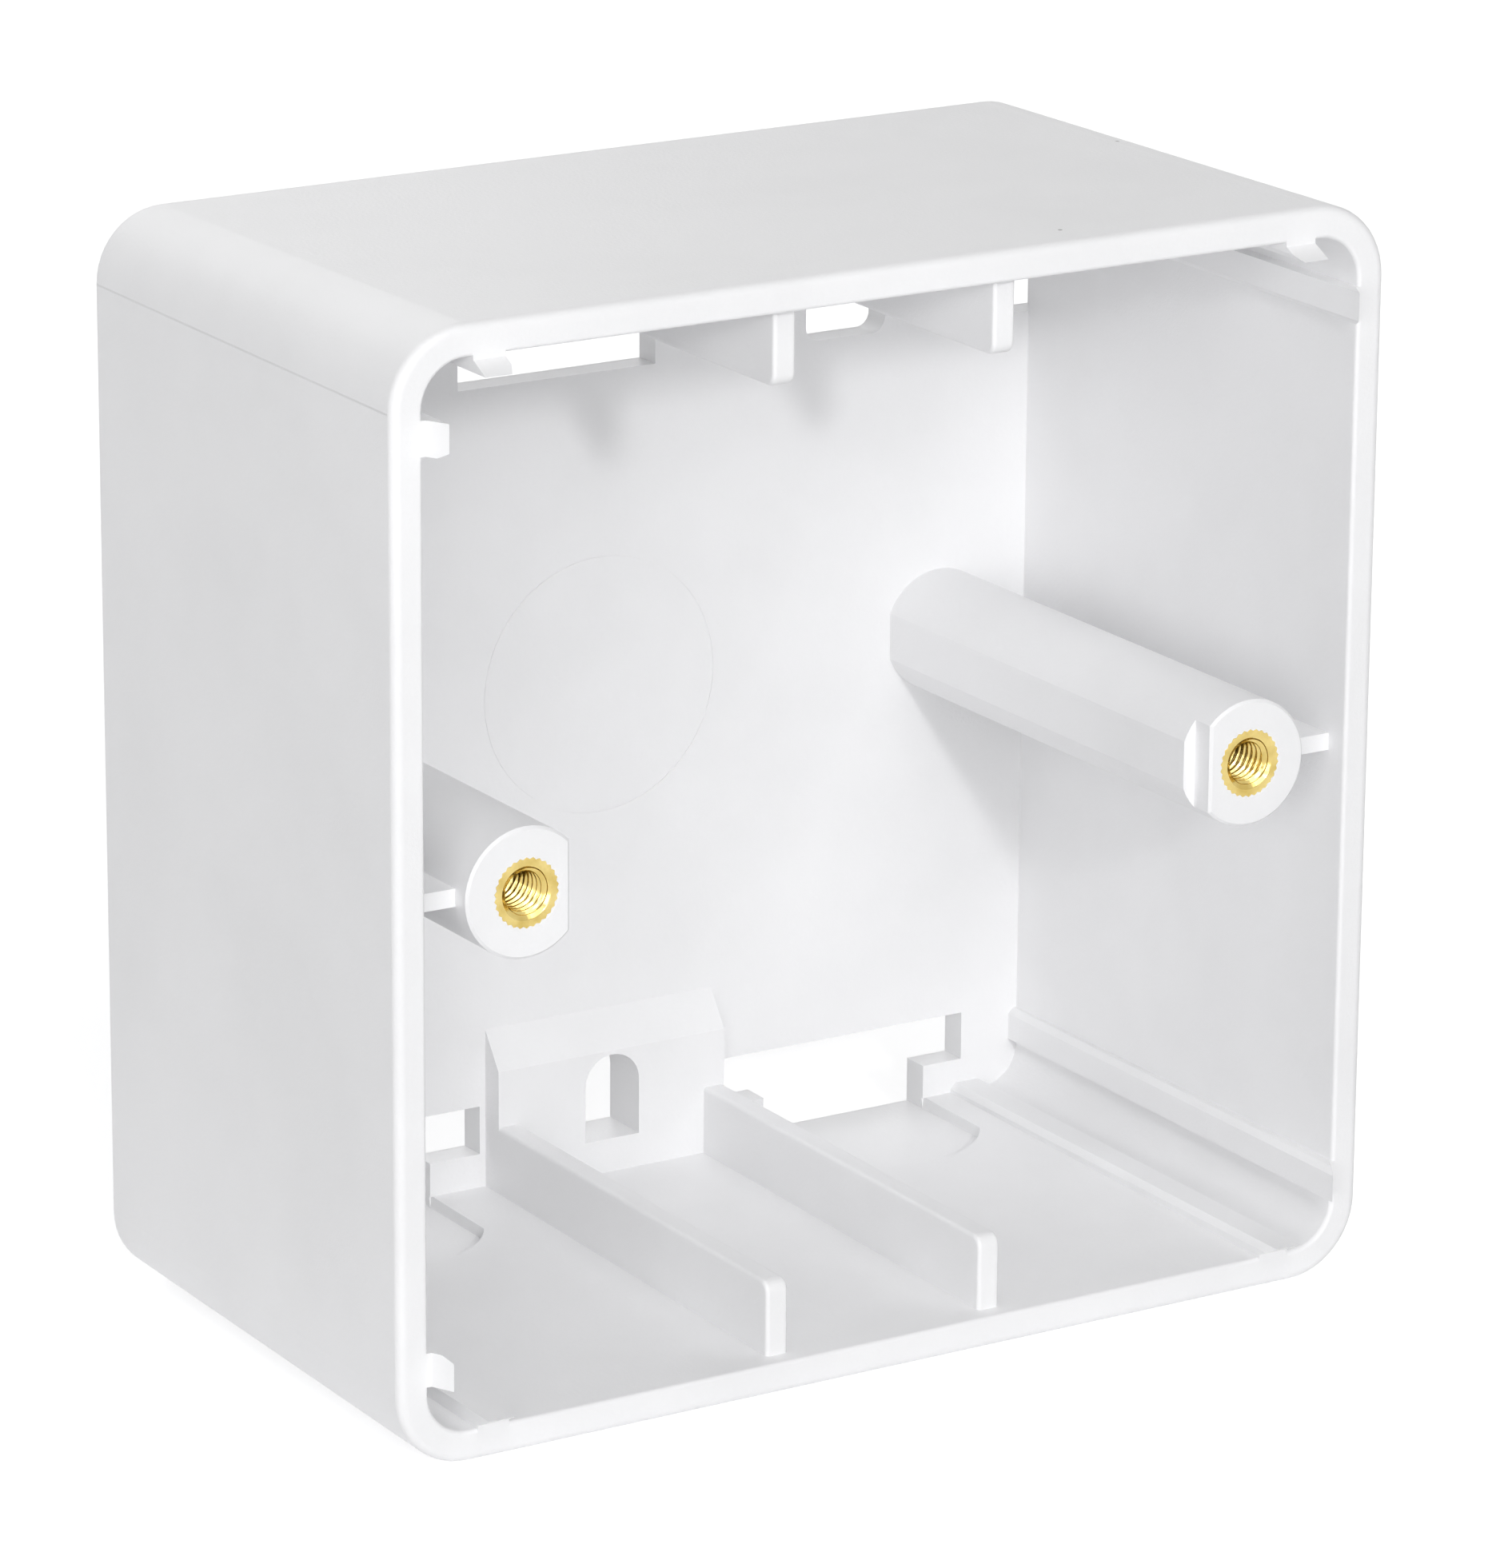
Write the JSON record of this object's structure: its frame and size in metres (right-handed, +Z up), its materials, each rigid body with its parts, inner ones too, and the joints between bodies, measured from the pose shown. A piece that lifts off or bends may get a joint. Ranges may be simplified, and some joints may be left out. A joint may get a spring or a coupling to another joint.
{
  "type": "surface pattress box",
  "caption": "Square surface pattress box moulded in white plastic, open at the front, with side bosses carrying brass thread inserts for a cover plate and a slotted, knock-out wall face.",
  "frame": {"origin": "centre of the wall face, the outside of the box's back wall", "axes": "+X to the right and +Z up as seen from the open front; the open front faces -Y and the wall face faces +Y"},
  "size_m": [0.0812, 0.0457, 0.0812],
  "materials": {
    "moulding": "fine satin moulded texture",
    "insert": "turned and knurled"
  },
  "bodies": {
    "root": {"pattress_box": "moulding", "insert_left": "insert", "insert_right": "insert"}
  },
  "joints": []
}
